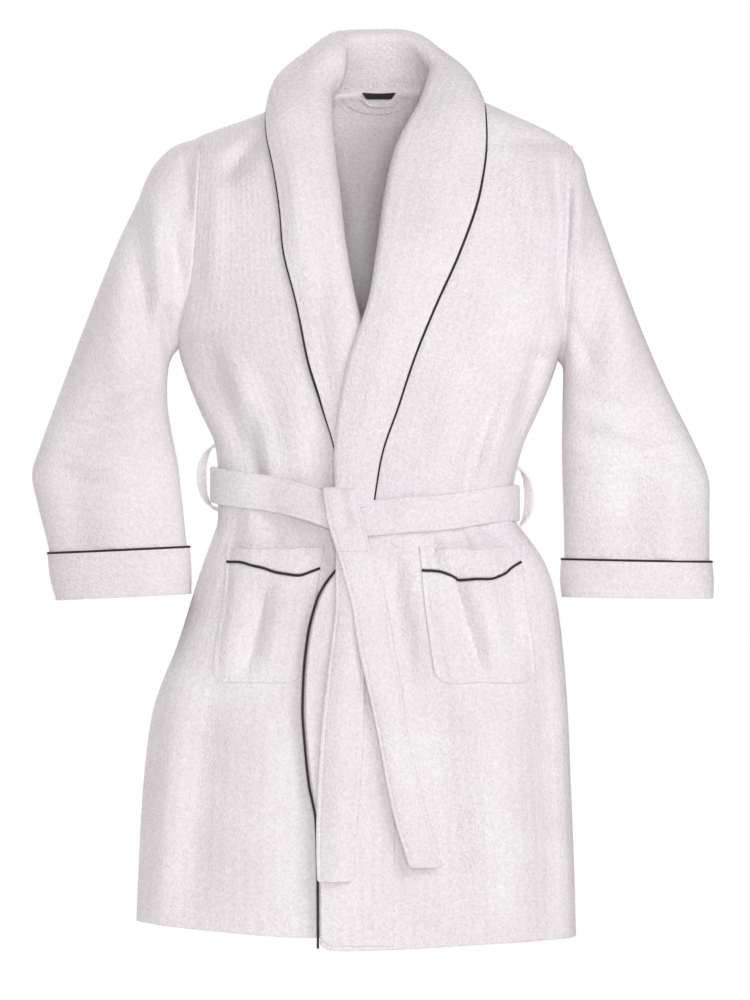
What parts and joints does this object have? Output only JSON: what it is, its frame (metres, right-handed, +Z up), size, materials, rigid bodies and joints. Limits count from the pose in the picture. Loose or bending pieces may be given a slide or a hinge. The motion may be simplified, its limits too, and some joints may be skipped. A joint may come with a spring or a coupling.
{
  "type": "bathrobe",
  "caption": "Knee-length terry bathrobe with a shawl collar, dark piping, patch pockets, turned cuffs and a tied waist belt.",
  "frame": {"origin": "middle of the neck, between front and back, at the height of the neck seam", "axes": "+Z up along the robe, -Y is its front, +X is the wearer's left"},
  "size_m": [0.881, 0.2666, 1.1967],
  "materials": {
    "terry": "white cotton terry, looped pile",
    "piping": "charcoal woven piping over a cord",
    "label": "charcoal woven tag, blank"
  },
  "bodies": {
    "robe": {"back_panel": "terry", "front_panel_left": "terry", "front_panel_right": "terry", "front_band_right": "terry", "front_piping_right": "piping", "collar_stand": "terry", "collar_left": "terry", "collar_right": "terry", "collar_piping_left": "piping", "collar_piping_right": "piping", "pocket_left": "terry", "pocket_right": "terry", "pocket_band_left": "terry", "pocket_band_right": "terry", "pocket_piping_left": "piping", "pocket_piping_right": "piping", "belt_wrap": "terry", "belt_knot": "terry", "belt_loop_left": "terry", "belt_loop_right": "terry", "hang_loop": "terry", "neck_label": "label"},
    "left_arm": {"sleeve_left": "terry", "cuff_left": "terry", "cuff_piping_left": "piping"},
    "right_arm": {"sleeve_right": "terry", "cuff_right": "terry", "cuff_piping_right": "piping"},
    "overlap": {"front_skirt_left": "terry", "front_band_left": "terry", "front_piping_left": "piping"},
    "left_tail": {"belt_tail_left": "terry"},
    "right_tail": {"belt_tail_right": "terry"}
  },
  "joints": [
    {"name": "left_sleeve_raise", "type": "hinge", "parent": "robe", "child": "left_arm", "pos_m": [0.262, 0, -0.06], "axis": [0, -1, 0], "range_deg": [0, 40]},
    {"name": "right_sleeve_raise", "type": "hinge", "parent": "robe", "child": "right_arm", "pos_m": [-0.22, 0, -0.047], "axis": [0, 1, 0], "range_deg": [0, 40]},
    {"name": "overlap_open", "type": "hinge", "parent": "robe", "child": "overlap", "pos_m": [-0.015, -0.1047, -0.566], "axis": [-0.294, 0.0397, 0.955], "range_deg": [0, 35]},
    {"name": "left_tail_swing", "type": "hinge", "parent": "overlap", "child": "left_tail", "pos_m": [-0.021, -0.11665, -0.578], "axis": [-1, 0, 0], "range_deg": [0, 50]},
    {"name": "right_tail_swing", "type": "hinge", "parent": "overlap", "child": "right_tail", "pos_m": [-0.02, -0.11146, -0.587], "axis": [0, 1, 0], "range_deg": [0, 20]}
  ]
}
